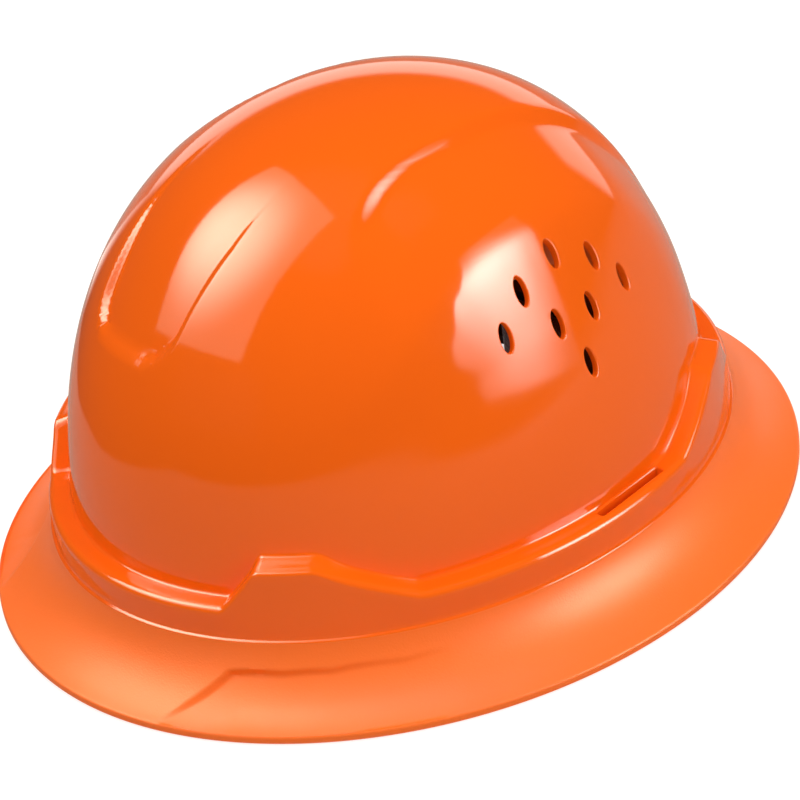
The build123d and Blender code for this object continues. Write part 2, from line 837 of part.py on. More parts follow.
def make_housing_screws():
    """Two screws that hold the cover on the base."""
    screws = []
    sink = cover_face - recess_depth - screw_head_height
    for side in (1, -1):
        place = Pos(0, 0, side * screw_spacing / 2)
        shank = disc(screw_diameter / 2 - running_clearance, base_inner_radius + running_clearance, sink)
        head = disc(screw_head_diameter / 2, sink, sink + screw_head_height)
        cross = back_plane(sink + screw_head_height - screw_pilot_depth) * extrude(
            Rectangle(screw_head_diameter * cross_slot_share, screw_pilot_depth)
            + Rectangle(screw_pilot_depth, screw_head_diameter * cross_slot_share),
            amount=overrun,
        )
        screws.append(place * (shank + head - cross))
    return Compound(children=screws)


def make_pawl_disc():
    """Disc on the shaft with two springy arms that click over the recess's teeth."""
    start = cover_face - recess_depth + running_clearance
    inner_radius = pawl_hub_diameter / 2
    tip_radius = recess_diameter / 2 - click_tooth_height - running_clearance
    hub = disc(inner_radius, start, start + pawl_disc_thickness)
    arms = []
    for turn in (0, 180):
        outer_face = Circle(tip_radius) - Circle(tip_radius - pawl_arm_width)
        far = tip_radius * 2
        edge = radians(pawl_tip_angle)
        corner = (far * cos(edge), far * sin(edge))
        wedge = make_face(Polyline((0, 0), (far, 0), (far, far), corner, close=True))
        root = Pos(tip_radius / 2, pawl_arm_width / 2) * Rectangle(tip_radius, pawl_arm_width)
        arm = (outer_face & wedge) + (root & Circle(tip_radius))
        arms.append(back_plane(start) * extrude(Rot(0, 0, turn) * arm, amount=pawl_disc_thickness))
    plate = hub + arms[0] + arms[1]
    return plate - hexagon(shaft_across_flats + 2 * running_clearance, start - overrun, cover_face + overrun)


def make_knob():
    """Fluted knob with a hub on the hexagonal shaft."""
    start = cover_face + face_gap
    end = start + knob_depth
    body = disc(knob_diameter / 2, start, end)
    rim = body.edges().group_by(Axis.Y)[-1]
    body = fillet(rim, knob_wall)
    room = disc(knob_diameter / 2 - knob_wall - flute_bite, start - overrun, end - knob_wall)
    hub = disc(knob_hub_diameter / 2, start, end - knob_wall)
    body = body - (room - hub)
    flutes = []
    away = knob_diameter / 2 + flute_diameter / 2 - flute_bite
    groove = disc(flute_diameter / 2, start - overrun, end + overrun)
    for index in range(knob_flutes):
        angle = 2 * pi * index / knob_flutes
        flutes.append(Pos(away * sin(angle), 0, away * cos(angle)) * groove)
    body = body - flutes
    shaft_end = cover_face + knob_depth - shaft_end_from_face - knob_screw_head_height
    socket = shaft_across_flats + 2 * running_clearance
    body = body - hexagon(socket, start - overrun, shaft_end + running_clearance)
    body = body - disc(knob_screw_diameter / 2 + running_clearance, start, end + overrun)
    sink = end - knob_screw_head_height - shaft_end_from_face / 2
    return body - disc(knob_screw_head / 2 + running_clearance, sink, end + overrun)


def make_knob_screw():
    """Screw that holds the knob on its shaft."""
    end = cover_face + face_gap + knob_depth
    sink = end - knob_screw_head_height - shaft_end_from_face / 2
    shaft_end = cover_face + knob_depth - shaft_end_from_face - knob_screw_head_height
    low = shaft_end - knob_screw_length + knob_screw_spare
    shank = disc(knob_screw_diameter / 2 - running_clearance, low, sink)
    head = disc(knob_screw_head / 2, sink, sink + knob_screw_head_height)
    across = knob_screw_head * cross_slot_share
    cross = back_plane(sink + knob_screw_head_height - screw_pilot_depth) * extrude(
        Rectangle(across, screw_pilot_depth) + Rectangle(screw_pilot_depth, across),
        amount=overrun,
    )
    return shank + head - cross


front_key = make_key(front_distance(), front_leg_from_band)
rear_key = mirror(make_key(rear_distance(), rear_leg_from_band), about=Plane.XZ)
first_strap = make_crown_strap(0)
second_strap = mirror(make_crown_strap(1), about=Plane.YZ)

nodes = {
    "shell": make_shell(),
    "key_front_left": front_key,
    "key_front_right": mirror(front_key, about=Plane.YZ),
    "key_rear_left": rear_key,
    "key_rear_right": mirror(rear_key, about=Plane.YZ),
    "crown_strap_lower": first_strap,
    "crown_strap_upper": second_strap,
    "crown_keeper": make_crown_keeper(),
    "headband": make_headband(),
    "brow_pad": make_brow_pad(),
    "pivot_pin_left": make_pivot_pin(1),
    "pivot_pin_right": make_pivot_pin(-1),
    "nape_guide_left": make_nape_guide(1),
    "nape_guide_right": make_nape_guide(-1),
    "ratchet_base": make_ratchet_base(),
    "ratchet_cover": make_ratchet_cover(),
    "housing_screws": make_housing_screws(),
    "nape_pad": make_nape_pad(),
    "rack_arm_left": make_rack_arm(1),
    "rack_arm_right": make_rack_arm(-1),
    "pinion": make_pinion(),
    "pawl_disc": make_pawl_disc(),
    "ratchet_knob": make_knob(),
    "knob_screw": make_knob_screw(),
}

os.makedirs("parts", exist_ok=True)
for name, piece in nodes.items():
    export_step(piece, f"parts/{name}.step")
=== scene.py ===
import json
import math

import bpy
import numpy as np
from mathutils import Matrix, Vector
from mathutils.bvhtree import BVHTree

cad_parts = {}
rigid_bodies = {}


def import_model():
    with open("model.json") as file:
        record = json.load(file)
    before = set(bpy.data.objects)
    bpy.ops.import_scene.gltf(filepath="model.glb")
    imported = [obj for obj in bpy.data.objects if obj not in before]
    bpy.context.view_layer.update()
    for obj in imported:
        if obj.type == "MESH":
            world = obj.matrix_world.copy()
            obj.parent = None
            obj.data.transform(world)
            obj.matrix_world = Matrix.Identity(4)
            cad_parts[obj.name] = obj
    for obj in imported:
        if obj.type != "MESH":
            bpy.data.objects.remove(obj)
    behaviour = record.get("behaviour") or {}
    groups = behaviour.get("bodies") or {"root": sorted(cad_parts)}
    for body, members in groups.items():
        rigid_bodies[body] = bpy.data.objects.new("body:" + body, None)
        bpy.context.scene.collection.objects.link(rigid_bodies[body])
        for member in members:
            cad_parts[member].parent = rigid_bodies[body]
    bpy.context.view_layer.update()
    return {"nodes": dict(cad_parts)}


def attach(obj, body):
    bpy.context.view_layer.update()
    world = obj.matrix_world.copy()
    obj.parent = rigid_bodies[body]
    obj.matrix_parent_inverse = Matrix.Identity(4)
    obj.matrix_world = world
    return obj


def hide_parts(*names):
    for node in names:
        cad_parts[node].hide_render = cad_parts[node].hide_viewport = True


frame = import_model()
scene = bpy.context.scene
scene.view_settings.view_transform = "Standard"
bpy.ops.object.select_all(action="DESELECT")

# Camera: the photograph looks down on the front left of the hat from about a metre and a quarter,
# through a long lens, slightly rolled.
camera_right = Vector((0.5777, 0.8079, -0.1162)).normalized()
camera_back = Vector((0.7211, -0.4384, 0.5365)).normalized()
camera_up = camera_back.cross(camera_right)
camera_place = Vector((0.8660, -0.5215, 0.6858))
bpy.ops.object.camera_add()
camera = bpy.context.object
camera.name = "camera"
turned = Matrix((camera_right, camera_up, camera_back)).transposed()
camera.matrix_world = Matrix.Translation(camera_place) @ turned.to_4x4()
camera.data.lens = 143.7
camera.data.sensor_width = 36.0
camera.data.clip_end = 50.0
scene.camera = camera

# Floor: a plain pale sheet of matt paper, which keeps the hat's soft shadow and shows in the gloss.
# Its outline is the edge that the dome mirrors. Seen from below it is clear, so the harness shows.
floor_outline = (
    (-0.32, 0.0), (-0.28, -0.10), (-0.25, -0.15), (-0.245, -0.213), (-0.214, -0.274),
    (-0.18, -0.40), (-0.06, -0.80), (0.72, -0.74), (1.20, -0.57), (2.20, -0.17), (3.0, 0.6),
    (3.0, 3.0), (0.0, 4.0), (-3.0, 3.0), (-3.0, 0.25), (-0.64, 0.02),
)
floor_level = -0.0004


def add_node(tree, kind, inputs=None, **settings):
    """Shader node of a kind, with its settings and then its input values."""
    node = tree.nodes.new("ShaderNode" + kind)
    for key, value in settings.items():
        setattr(node, key, value)
    for key, value in (inputs or {}).items():
        node.inputs[key].default_value = value
    return node


def wire(tree, *pairs):
    """Links each output to its input."""
    for source, target in pairs:
        tree.links.new(source, target)


bpy.ops.mesh.primitive_circle_add(vertices=len(floor_outline), radius=1.0, fill_type="NGON")
floor = bpy.context.object
floor.name = "floor"
for index, vertex in enumerate(floor.data.vertices):
    vertex.co = (*floor_outline[index], floor_level)
paper = bpy.data.materials.new("floor_paper")
paper.use_nodes = True
tree = paper.node_tree
tree.nodes.clear()
paper_out = add_node(tree, "OutputMaterial")
paper_matt = add_node(tree, "BsdfDiffuse", {"Color": (0.40, 0.39, 0.35, 1)})
paper_glow = add_node(tree, "Emission", {"Color": (1, 1, 1, 1), "Strength": 0.72})
paper_both = add_node(tree, "AddShader")
paper_ray = add_node(tree, "LightPath")
paper_pick = add_node(tree, "MixShader")
paper_side = add_node(tree, "NewGeometry")
paper_below = add_node(tree, "Math", operation="MULTIPLY")
paper_clear = add_node(tree, "BsdfTransparent")
paper_open = add_node(tree, "MixShader")
wire(
    tree,
    (paper_matt.outputs[0], paper_both.inputs[0]),
    (paper_glow.outputs[0], paper_both.inputs[1]),
    (paper_ray.outputs["Is Camera Ray"], paper_pick.inputs[0]),
    (paper_matt.outputs[0], paper_pick.inputs[1]),
    (paper_both.outputs[0], paper_pick.inputs[2]),
    (paper_side.outputs["Backfacing"], paper_below.inputs[0]),
    (paper_ray.outputs["Is Camera Ray"], paper_below.inputs[1]),
    (paper_below.outputs[0], paper_open.inputs[0]),
    (paper_pick.outputs[0], paper_open.inputs[1]),
    (paper_clear.outputs[0], paper_open.inputs[2]),
    (paper_open.outputs[0], paper_out.inputs["Surface"]),
)
floor.data.materials.append(paper)

# Studio: white sweep behind the hat up to a low horizon, a dim room above it, three soft lamps,
# and two window-like diffusers, one over the front and one beside the rear.
world = bpy.data.worlds.new("studio")
scene.world = world
world.use_nodes = True
tree = world.node_tree
tree.nodes.clear()
sky_out = add_node(tree, "OutputWorld")
sky_way = add_node(tree, "TexCoord")
sky_lean = add_node(tree, "VectorMath", {1: (0.0, 0.0, 1.0)}, operation="DOT_PRODUCT")
sky_band = add_node(
    tree, "MapRange", {"From Min": 0.20, "From Max": 0.28, "To Min": 1.6, "To Max": 0.07},
    interpolation_type="SMOOTHSTEP",
)
sky_turn = add_node(tree, "VectorMath", {1: (-0.75, 0.66, 0.0)}, operation="DOT_PRODUCT")
sky_part = add_node(
    tree, "MapRange", {"From Min": 0.77, "From Max": 0.84, "To Min": 0.07},
    interpolation_type="SMOOTHSTEP",
)
sky_seen = add_node(tree, "Background", {"Color": (1, 0.97, 0.88, 1)})
sky_fill = add_node(tree, "Background", {"Color": (1, 0.97, 0.94, 1), "Strength": 0.50})
sky_white = add_node(tree, "Background", {"Color": (1, 1, 1, 1)})
sky_ray = add_node(tree, "LightPath")
sky_gloss = add_node(tree, "MixShader")
sky_pick = add_node(tree, "MixShader")
wire(
    tree,
    (sky_way.outputs["Generated"], sky_lean.inputs[0]),
    (sky_lean.outputs["Value"], sky_band.inputs["Value"]),
    (sky_way.outputs["Generated"], sky_turn.inputs[0]),
    (sky_turn.outputs["Value"], sky_part.inputs["Value"]),
    (sky_band.outputs["Result"], sky_part.inputs["To Max"]),
    (sky_part.outputs["Result"], sky_seen.inputs["Strength"]),
    (sky_ray.outputs["Is Glossy Ray"], sky_gloss.inputs[0]),
    (sky_fill.outputs[0], sky_gloss.inputs[1]),
    (sky_seen.outputs[0], sky_gloss.inputs[2]),
    (sky_ray.outputs["Is Camera Ray"], sky_pick.inputs[0]),
    (sky_gloss.outputs[0], sky_pick.inputs[1]),
    (sky_white.outputs[0], sky_pick.inputs[2]),
    (sky_pick.outputs[0], sky_out.inputs["Surface"]),
)


def soft_box(name, towards, distance, width, height, power):
    """Rectangular lamp facing the middle of the dome, kept out of the gloss."""
    middle = Vector((0, 0, 0.12))
    out = Vector(towards).normalized()
    bpy.ops.object.light_add(type="AREA")
    lamp = bpy.context.object
    lamp.name = name
    lamp.visible_glossy = False
    lamp.data.shape = "RECTANGLE"
    lamp.data.size = width
    lamp.data.size_y = height
    lamp.data.energy = power
    side = Vector((0, 0, 1)).cross(out).normalized()
    turn = Matrix((side, out.cross(side), out)).transposed()
    lamp.matrix_world = Matrix.Translation(middle + out * distance) @ turn.to_4x4()
    return lamp


soft_box("box_top", (0.05, -0.12, 1.0), 1.5, 1.2, 1.2, 15.5)
soft_box("box_side", (0.80, 0.45, 0.35), 1.6, 1.0, 0.9, 10.0)
soft_box("box_low", (0.15, -1.0, 0.25), 1.5, 1.0, 0.5, 2.8)


def glow_panel(name, corners, tint, dim, bright, hot, reach):
    """Diffuser that shows only in the gloss, brightest round one spot."""
    bpy.ops.mesh.primitive_plane_add(size=1)
    panel = bpy.context.object
    panel.name = name
    first, second, third, fourth = corners
    for vertex, corner in zip(panel.data.vertices, (first, second, fourth, third)):
        vertex.co = corner
    glow = bpy.data.materials.new(name)
    glow.use_nodes = True
    tree = glow.node_tree
    tree.nodes.clear()
    out = add_node(tree, "OutputMaterial")
    light = add_node(tree, "Emission", {"Color": tint})
    place = add_node(tree, "TexCoord")
    away = add_node(tree, "VectorMath", {1: hot}, operation="DISTANCE")
    fall = add_node(
        tree, "MapRange", {"From Min": 0.0, "From Max": reach, "To Min": bright, "To Max": dim},
        interpolation_type="SMOOTHERSTEP",
    )
    wire(
        tree,
        (place.outputs["Object"], away.inputs[0]),
        (away.outputs["Value"], fall.inputs["Value"]),
        (fall.outputs["Result"], light.inputs["Strength"]),
        (light.outputs[0], out.inputs["Surface"]),
    )
    panel.data.materials.append(glow)
    for ray in ("camera", "diffuse", "transmission", "volume_scatter", "shadow"):
        setattr(panel, "visible_" + ray, False)


glow_panel(
    "window_front",
    (
        (-0.854, 0.037, 1.387), (0.199, -0.135, 1.646),
        (0.439, -1.370, 0.788), (-0.846, -1.242, 0.571),
    ),
    (1.0, 0.96, 0.78, 1), 1.8, 17.0, (-0.50, -0.75, 1.25), 0.88,
)
glow_panel(
    "window_side",
    ((1.12, 0.50, 1.36), (0.66, 1.22, 1.22), (1.094, 1.140, 0.016), (1.53, 0.40, 0.18)),
    (1.0, 0.98, 0.92, 1), 0.6, 21.0, (1.25, 0.75, 0.68), 0.80,
)

# Shell: one injection moulding in glossy orange plastic. The collar carries four raised key
# housings, and the brim flares out of its foot in a finely textured satin.
millimetre = 0.001
dome_half = (106.5, 127.5)
dome_top = 172.0
side_power = 2.31
rise_power = 2.55
collar_half = (113.9, 134.9)
ledge_level = 38.0
housing_rise = 15.0
shell_wall = 2.5
key_wall_half = (110.2, 131.2)
key_wall_point = (69.25, 95.31)
key_wall_way = (-0.693, 0.721)
housing_corners = (-48.5, -13.5, 7.5, 20.0)
housing_ease = np.linspace(-1.5, 1.5, 13)
shell_columns = 512
inner_every = 2
merge_gap = 1e-6


def smooth_step(value, low, high):
    """Eased share of the way from a low value to a high one."""
    share = np.clip((value - low) / (high - low), 0, 1)
    return share * share * (3 - 2 * share)


def dome_share(level, top):
    """Size of the dome's oval at a height, as a share of its size at the foot."""
    return (1 - (np.clip(level, 0, top) / top) ** rise_power) ** (1 / side_power)


def along_housing(turn):
    """Distance along the wall from the nearest housing's middle, towards the hat's middle."""
    x = np.abs(key_wall_half[0] * np.sin(turn)) - key_wall_point[0]
    y = np.abs(key_wall_half[1] * np.cos(turn)) - key_wall_point[1]
    return key_wall_way[0] * x + key_wall_way[1] * y


def column_turns():
    """Angles of the shell's columns, closer at the housings' corners and the panel's edges."""
    turn = np.linspace(0, math.pi / 2, 4001)
    along = along_housing(turn)
    close = 1 + 1.2 * smooth_step(turn, 0.17, 0.24) * (1 - smooth_step(turn, 0.48, 0.56))
    for corner in housing_corners:
        close = close + 2.4 * np.exp(-(((along - corner) / 3.5) ** 2))
    total = np.concatenate(([0], np.cumsum((close[1:] + close[:-1]) / 2)))
    quarter = np.interp(np.linspace(0, total[-1], shell_columns // 4 + 1), total, turn)
    left = np.concatenate((quarter, math.pi - quarter[-2::-1]))
    return np.concatenate((left, math.pi + left[1:]))


def housing_level(turn):
    """Height of the ledge at a column, with the housings' corners eased."""
    level = 0
    for ease in housing_ease:
        along = along_housing(turn) + ease
        level = level + np.interp(along, housing_corners, (0, housing_rise, housing_rise, 0))
    return ledge_level + level / len(housing_ease)


def flare_line(points, count):
    """Evenly spaced points on the brim's curved line, as offset from the collar and height."""
    share = np.linspace(0, 1, 400)[:, None]
    a, b, c, d = (np.array(p) for p in points)
    left = 1 - share
    line = a * left**3 + 3 * b * left**2 * share + 3 * c * left * share**2 + d * share**3
    run = np.concatenate(([0], np.cumsum(np.hypot(*np.diff(line, axis=0).T))))
    even = np.linspace(0, run[-1], count)
    return [(np.interp(s, run, line[:, 0]), np.interp(s, run, line[:, 1])) for s in even]


def side_distance(y, z, line):
    """Signed distance from a crease drawn in the side view, positive below it."""
    line = np.array(line)
    best = np.full(y.shape, 1e9)
    for start, end in zip(line[:-1], line[1:]):
        run = end - start
        share = np.clip(((y - start[0]) * run[0] + (z - start[1]) * run[1]) / (run @ run), 0, 1)
        away = np.hypot(y - start[0] - share * run[0], z - start[1] - share * run[1])
        best = np.minimum(best, away)
    return np.where(z < np.interp(y, line[:, 0], line[:, 1]), best, -best)


panel_depth = 2.5
panel_edge = 2.3
panel_corner = 11.0
panel_foot = 114.0
panel_fade = (126, 168)
panel_levels = (110, 125, 150, 172)
panel_half = (22, 24.5, 26.5, 25)
valley_depth = 3.2
valley_reach = (-1.5, 6.5, 42)
valley_front = (-42, -20)
valley_rear = (84, 118)
scallop_depth = 3.0
scallop_reach = 30
scallop_ease = 2.2
scallop_foot = (46, 104)
scallop_inner = 30
scallop_crest = (
    (-90, 86), (-70.6, 97.3), (-58.9, 103.5), (-47.8, 110.2), (-37.2, 118.5), (-26.7, 126.0),
    (-15, 131), (-2.6, 134.3), (9, 136.5), (20, 137.3), (31, 137), (41, 135.3), (57, 129.8),
    (71, 121.5), (85, 110), (97, 96), (112, 76),
)
crown_edge_y = (-60, -45, -28.8, -18.5, -4.4, 13.5, 28.2, 45.8, 67.6, 85, 115)
crown_edge_x = (58, 53, 46.6, 42.5, 39, 37.5, 34.8, 31, 27, 24, 20)


def dome_relief(x, y, z):
    """How far the dome's skin stands off the plain dome, in millimetres."""
    side = np.abs(x)
    across = side - np.interp(z, panel_levels, panel_half) + panel_corner
    below = panel_foot - z + panel_corner
    edge = np.hypot(np.maximum(across, 0), np.maximum(below, 0))
    edge = edge + np.minimum(np.maximum(across, below), 0) - panel_corner
    sunk = panel_depth * smooth_step(-edge, 0, panel_edge) * (y < 0)
    sunk = sunk * (1 - smooth_step(z, *panel_fade))
    past = side - np.interp(y, crown_edge_y, crown_edge_x)
    start, middle, end = valley_reach
    valley = smooth_step(past, start, middle) * (1 - smooth_step(past, middle, end))
    crown = valley_depth * valley
    crown = crown * smooth_step(y, *valley_front) * (1 - smooth_step(y, *valley_rear))
    inside = side_distance(y, z, scallop_crest)
    eased = 0.5 * (inside + np.sqrt(inside**2 + scallop_ease))
    scallop = scallop_depth * (1 - (1 - np.clip(eased / scallop_reach, 0, 1)) ** 2)
    scallop = scallop * smooth_step(z, *scallop_foot) * (side > scallop_inner)
    scallop = scallop * (0.3 + 0.7 * smooth_step(y, -74, -10)) * (1 - 0.6 * smooth_step(y, 70, 110))
    scallop = scallop * smooth_step(y, -89, -62)
    return -sunk - crown - scallop


def dome_normal(x, y, z, half, top):
    """Direction out of the plain dome."""
    share = np.maximum(dome_share(z, top), 1e-4)
    climb = rise_power / side_power * (z / top) ** (rise_power - 1) / top
    climb = climb * share ** (2 - side_power)
    way = np.stack((x / half[0] ** 2, y / half[1] ** 2, climb), -1)
    return way / np.linalg.norm(way, axis=-1, keepdims=True)


def dome_rings(start, half, top, count, turn):
    """Rings from a starting height at each column up to the crown, evenly spaced along the dome."""
    lean = np.linspace(0, math.pi / 2, 6001)
    level = top * np.sin(lean) ** (2 / rise_power)
    share = np.cos(lean) ** (2 / side_power)
    steps = np.hypot(np.diff(level), np.diff(share) * (half[0] + half[1]) / 2)
    run = np.concatenate(([0], np.cumsum(steps)))
    first = np.interp(start, level, run)
    rings = []
    for index in range(1, count + 1):
        place = first + (run[-1] - first) * index / count
        z = np.interp(place, run, level)
        kept = np.interp(place, run, share)
        x = half[0] * kept * np.sin(turn)
        y = -half[1] * kept * np.cos(turn)
        out = dome_normal(x, y, z, half, top)
        moved = np.stack((x, y, z), -1) + out * dome_relief(x, y, z)[:, None]
        if index == count:
            moved = np.repeat(moved[:1], len(turn), axis=0)
        rings.append(moved)
    return rings


def collar_ring(offset, level, turn):
    """Ring at an offset from the collar's outer oval."""
    offset = offset + 0 * turn
    x = (collar_half[0] + offset) * np.sin(turn)
    y = -(collar_half[1] + offset) * np.cos(turn)
    return np.stack((x, y, level + 0 * turn), -1)


def dome_root(level, gap, rise, half, top, turn):
    """Ring beside the dome's foot, a gap outside its skin at a height above the ledge."""
    kept = dome_share(level + rise, top)
    x = (half[0] * kept + gap) * np.sin(turn)
    y = -(half[1] * kept + gap) * np.cos(turn)
    return np.stack((x, y, level + rise), -1)


step_line = (
    (54.6, -147.0), (58.5, -134.6), (61.8, -125.5), (64.0, -118.6),
    (78.6, -105.4), (89.6, -92.1), (102.7, -70.6), (109.0, -54.8),
)
step_depth = (0.0, 1.0, 1.7, 2.2, 1.8, 1.4, 0.8, 0.0)
step_edge = (-0.1, 1.2)
step_fade = (8, 28)


def brim_step(points):
    """How far the brim drops outside the angled step line beside the front, in millimetres."""
    x = np.abs(points[..., 0])
    y = points[..., 1]
    nearest = np.full(x.shape, 1e9)
    depth = np.zeros(x.shape)
    outside = np.zeros(x.shape)
    line = np.array(step_line)
    for index in range(len(line) - 1):
        run = line[index + 1] - line[index]
        reach = ((x - line[index, 0]) * run[0] + (y - line[index, 1]) * run[1]) / (run @ run)
        share = np.clip(reach, 0, 1)
        away_x = x - line[index, 0] - share * run[0]
        away_y = y - line[index, 1] - share * run[1]
        away = np.hypot(away_x, away_y)
        closer = away < nearest
        nearest = np.where(closer, away, nearest)
        here = step_depth[index] * (1 - share) + step_depth[index + 1] * share
        depth = np.where(closer, here, depth)
        outside = np.where(closer, np.sign(run[1] * away_x - run[0] * away_y), outside)
    reach = nearest * outside
    return depth * smooth_step(reach, *step_edge) * (1 - smooth_step(reach, *step_fade))


def skin(name, rings, materials, marks=0):
    """Grid laid over rings of points, with its seam and pole merged."""
    bpy.ops.object.select_all(action="DESELECT")
    columns = len(rings[0]) - 1
    rows = len(rings) - 1
    bpy.ops.mesh.primitive_grid_add(x_subdivisions=columns, y_subdivisions=rows, size=1)
    piece = bpy.context.object
    piece.name = name
    piece.data.name = name
    points = np.concatenate(rings) * millimetre
    piece.data.vertices.foreach_set("co", points.ravel())
    for material in materials:
        piece.data.materials.append(material)
    marks = np.broadcast_to(np.array(marks, dtype=np.int32), rows)
    piece.data.polygons.foreach_set("material_index", np.repeat(marks, columns))
    piece.data.update()
    bpy.ops.object.mode_set(mode="EDIT")
    bpy.ops.mesh.select_all(action="SELECT")
    bpy.ops.mesh.remove_doubles(threshold=merge_gap)
    bpy.ops.object.mode_set(mode="OBJECT")
    return piece


def pick(*pieces):
    """Selects these pieces alone, with the first one active."""
    bpy.ops.object.select_all(action="DESELECT")
    for piece in pieces:
        piece.select_set(True)
    bpy.context.view_layer.objects.active = pieces[0]


def surface(name):
    """New material, with its node tree and its principled shader."""
    material = bpy.data.materials.new(name)
    material.use_nodes = True
    return material, material.node_tree, material.node_tree.nodes["Principled BSDF"]


def shaded(tree, factor, first, second, target):
    """Colour that drifts from one shade to another."""
    shades = add_node(tree, "Mix", {"A": (*first, 1), "B": (*second, 1)}, data_type="RGBA")
    wire(tree, (factor, shades.inputs["Factor"]), (shades.outputs["Result"], target))


def uneven(tree, factor, roughness, shader):
    """Roughness that varies between two values."""
    spread = add_node(tree, "MapRange", {"To Min": roughness[0], "To Max": roughness[1]})
    wire(
        tree,
        (factor, spread.inputs["Value"]),
        (spread.outputs["Result"], shader.inputs["Roughness"]),
    )


def bumped(tree, height, distance, shader):
    """Fine relief of a depth in metres."""
    bump = add_node(tree, "Bump", {"Strength": 1.0, "Distance": distance})
    wire(
        tree,
        (height, bump.inputs["Height"]),
        (bump.outputs["Normal"], shader.inputs["Normal"]),
    )


def moulded(name, colour, second, grain, roughness, dimple, dimple_size):
    """Moulded plastic: two close shades in slow drifts, uneven gloss and a fine moulded grain."""
    material, tree, shader = surface(name)
    place = add_node(tree, "TexCoord")
    drift = add_node(tree, "TexNoise", {"Scale": grain, "Detail": 3.0})
    smear = add_node(tree, "TexNoise", {"Scale": grain * 3, "Detail": 5.0})
    pitted = add_node(tree, "TexNoise", {"Scale": dimple_size, "Detail": 2.0})
    for noise in (drift, smear, pitted):
        wire(tree, (place.outputs["Object"], noise.inputs["Vector"]))
    shaded(tree, drift.outputs["Fac"], colour, second, shader.inputs["Base Color"])
    uneven(tree, smear.outputs["Fac"], roughness, shader)
    bumped(tree, pitted.outputs["Fac"], dimple, shader)
    return material


orange_gloss = moulded(
    "orange_gloss", (0.87, 0.116, 0.003), (0.90, 0.126, 0.004), 9.0, (0.06, 0.10), 0.000012, 160.0
)
orange_satin = moulded(
    "orange_satin", (0.90, 0.140, 0.006), (0.93, 0.155, 0.009), 12.0, (0.34, 0.44), 0.00006, 1500.0
)
orange_inside = moulded(
    "orange_inside", (0.82, 0.11, 0.008), (0.86, 0.13, 0.010), 10.0, (0.26, 0.36), 0.00003, 700.0
)
shell_finishes = (orange_gloss, orange_satin, orange_inside)
gloss_mark, satin_mark, inside_mark = 0, 1, 2


def arc(angle, radius):
    """How far a rounded edge has gone back and up at an angle, from upright to level."""
    turn = math.radians(angle)
    return radius * (1 - math.cos(turn)), radius * math.sin(turn)


# Outer skin, from the brim's underside lip up to the crown.
brim_lip = (
    (22.7, 0), (24.3, 0), (24.87, 0.23), (25.1, 0.8), (25.1, 1.5), (25.1, 2.2), (24.95, 2.75),
    (24.55, 3.12),
)
brim_flare = ((24.1, 3.3), (15.5, 6.3), (4.5, 13.5), (1.3, 25.0))
flare_rows = 42
collar_foot = (
    (1.22, 25.45), (1.0, 25.75), (0.66, 25.88), (0.26, 26.12), (0.05, 26.7), (0.0, 27.6)
)
wall_foot = 27.6
wall_rows = 6
housing_lean = 2.2
ledge_round = 2.6
top_round_loss = 1.1
top_tilt = 1.7
root_gap = 1.3
dome_rows = 80

turns = column_turns()
levels = housing_level(turns)
lean_in = housing_lean * (levels - ledge_level) / housing_rise
eased = ledge_round - top_round_loss * smooth_step(
    levels, ledge_level + 10, ledge_level + housing_rise
)
rings = [collar_ring(offset, level, turns) for offset, level in brim_lip]
flare = flare_line(brim_flare, flare_rows)
for index, (offset, level) in enumerate(flare):
    before = flare[max(index - 1, 0)]
    after = flare[min(index + 1, len(flare) - 1)]
    run = np.array((after[0] - before[0], after[1] - before[1]))
    out = np.array((run[1], -run[0])) / np.hypot(*run)
    drop = brim_step(collar_ring(offset, level, turns))
    rings.append(collar_ring(offset - drop * out[0], level - drop * out[1], turns))
satin_rings = len(rings)
rings += [collar_ring(offset, level, turns) for offset, level in collar_foot]
for index in range(1, wall_rows + 1):
    share = index / wall_rows
    level = wall_foot + (levels - eased - wall_foot) * share
    rings.append(collar_ring(-lean_in * share, level, turns))
for angle in (15, 30, 45, 60, 75, 90):
    back, rise = arc(angle, eased)
    rings.append(collar_ring(-lean_in - back, levels - eased + rise, turns))
outer_edge = rings[-1]
lifted = levels + top_tilt * smooth_step(levels, ledge_level + 9, ledge_level + housing_rise)
inner_edge = dome_root(lifted, root_gap, 0, dome_half, dome_top, turns)
for share in (0.33, 0.67, 1.0):
    rings.append(outer_edge * (1 - share) + inner_edge * share)
for angle in (22.5, 45, 67.5, 90):
    rise, crossed = arc(angle, root_gap)
    rings.append(dome_root(lifted, root_gap - crossed, rise, dome_half, dome_top, turns))
rings += dome_rings(lifted + root_gap, dome_half, dome_top, dome_rows, turns)
marks = [satin_mark if index < satin_rings else gloss_mark for index in range(len(rings) - 1)]
outer_skin = skin("shell_plastic", rings, shell_finishes, marks)

# Inner skin, a wall's thickness in, with fewer columns.
inner_flare = ((22.5, 0.3), (13.1, 3.2), (2.1, 10.4), (-1.3, 21.8))
inner_flare_rows = 14
inner_wall_foot = 24.0
inner_round = 1.2
inner_gap = 1.0
inner_dome_rows = 30
inner_turns = turns[::inner_every]
inner_levels = levels[::inner_every] - shell_wall
inner_lean = lean_in[::inner_every]
inner_half = (dome_half[0] - shell_wall, dome_half[1] - shell_wall)
inner_top = dome_top - shell_wall
rings = [
    collar_ring(offset, level, inner_turns)
    for offset, level in flare_line(inner_flare, inner_flare_rows)
]
for share in (0.0, 0.3, 0.6, 0.85, 1.0):
    level = inner_wall_foot + (inner_levels - inner_round - inner_wall_foot) * share
    rings.append(collar_ring(-shell_wall - inner_lean * share, level, inner_turns))
for angle in (30, 60, 90):
    back, rise = arc(angle, inner_round)
    offset = -shell_wall - inner_lean - back
    rings.append(collar_ring(offset, inner_levels - inner_round + rise, inner_turns))
outer_edge = rings[-1]
